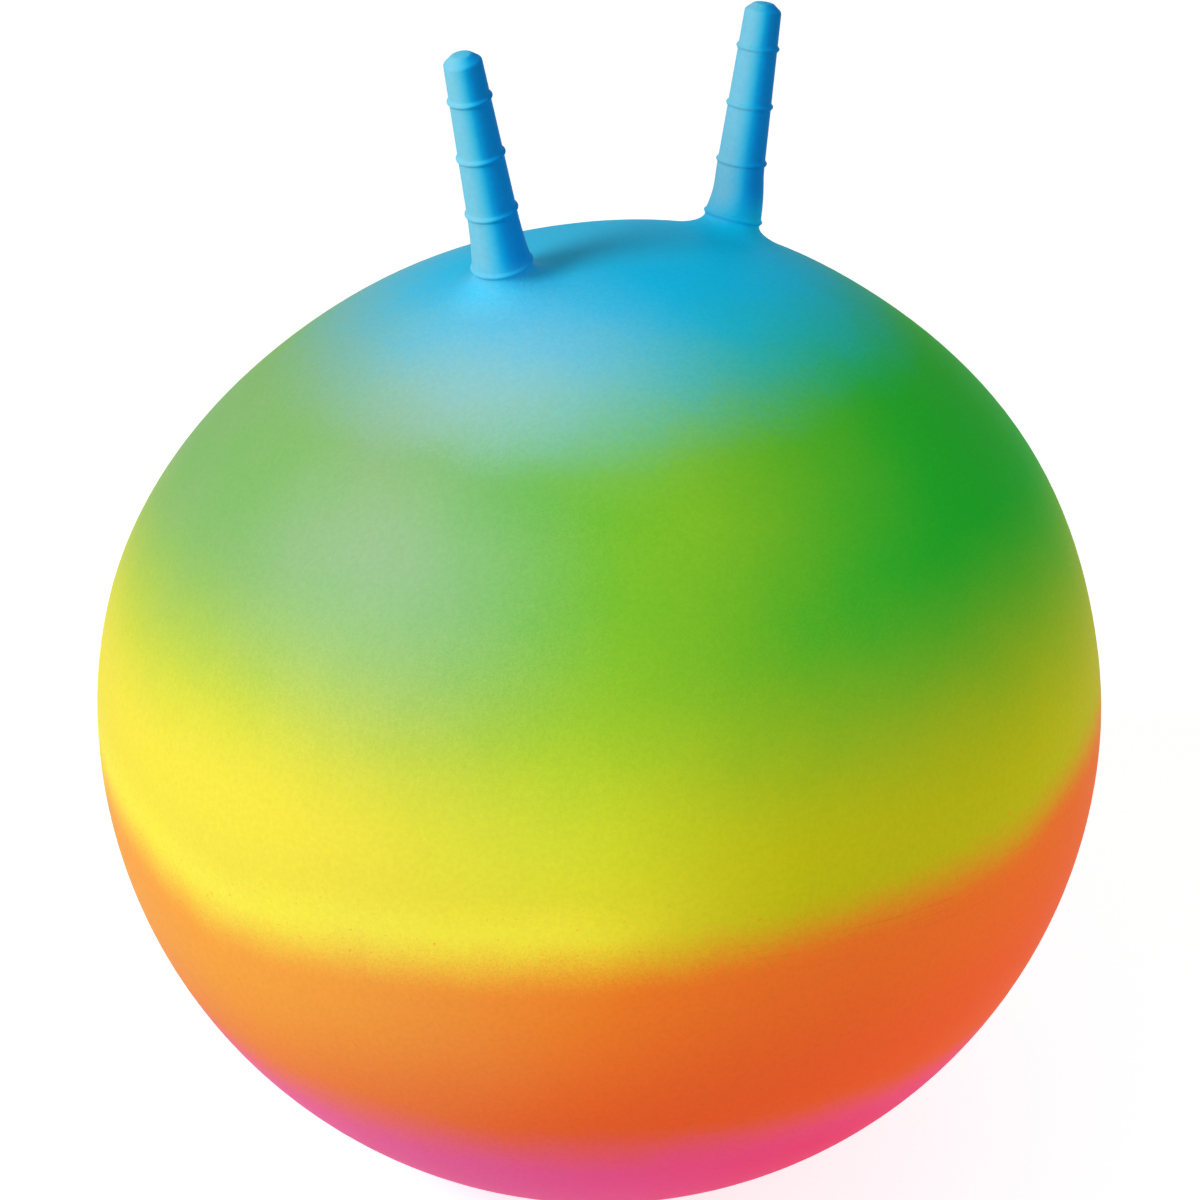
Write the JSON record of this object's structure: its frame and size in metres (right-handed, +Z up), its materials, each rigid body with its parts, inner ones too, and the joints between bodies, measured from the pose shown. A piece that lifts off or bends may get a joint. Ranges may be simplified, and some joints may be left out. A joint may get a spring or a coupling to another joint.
{
  "type": "hopper ball",
  "caption": "Inflated soft ride-on ball with a flattened crown, ribbed horn handles on flared flexible necks, a push-in air plug at the back and rainbow-sprayed bands.",
  "frame": {"origin": "middle of the flat patch that the ball rests on, on the floor", "axes": "+Z up through the crown, +X towards the right handle, -Y to the front, with the air plug at the back towards +Y"},
  "size_m": [0.5, 0.5, 0.5909],
  "materials": {
    "skin": "satin",
    "horn": "satin",
    "seat": "satin",
    "plug": "satin"
  },
  "bodies": {
    "ball": {"ball_skin": "skin", "valve_seat": "seat"},
    "left_neck": {"left_neck": "horn"},
    "left_handle": {"left_handle": "horn"},
    "right_neck": {"right_neck": "horn"},
    "right_handle": {"right_handle": "horn"},
    "valve_plug": {"valve_plug": "plug"}
  },
  "joints": [
    {"name": "left_neck_sway", "type": "hinge", "parent": "ball", "child": "left_neck", "pos_m": [-0.06814, 0, 0.4818], "axis": [1, 0, 0], "range_deg": [-25, 25], "stiffness_Nm_per_rad": 3, "deforming": ["left_neck"]},
    {"name": "left_handle_splay", "type": "hinge", "parent": "left_neck", "child": "left_handle", "pos_m": [-0.07275, 0, 0.50227], "axis": [0, -1, 0], "range_deg": [-25, 25], "stiffness_Nm_per_rad": 3},
    {"name": "right_neck_sway", "type": "hinge", "parent": "ball", "child": "right_neck", "pos_m": [0.06814, 0, 0.4818], "axis": [1, 0, 0], "range_deg": [-25, 25], "stiffness_Nm_per_rad": 3, "deforming": ["right_neck"]},
    {"name": "right_handle_splay", "type": "hinge", "parent": "right_neck", "child": "right_handle", "pos_m": [0.07275, 0, 0.50227], "axis": [0, 1, 0], "range_deg": [-25, 25], "stiffness_Nm_per_rad": 3},
    {"name": "plug_pull", "type": "slide", "parent": "ball", "child": "valve_plug", "axis": [0, 0.9397, 0.342], "range_m": [0, 0.04]}
  ]
}
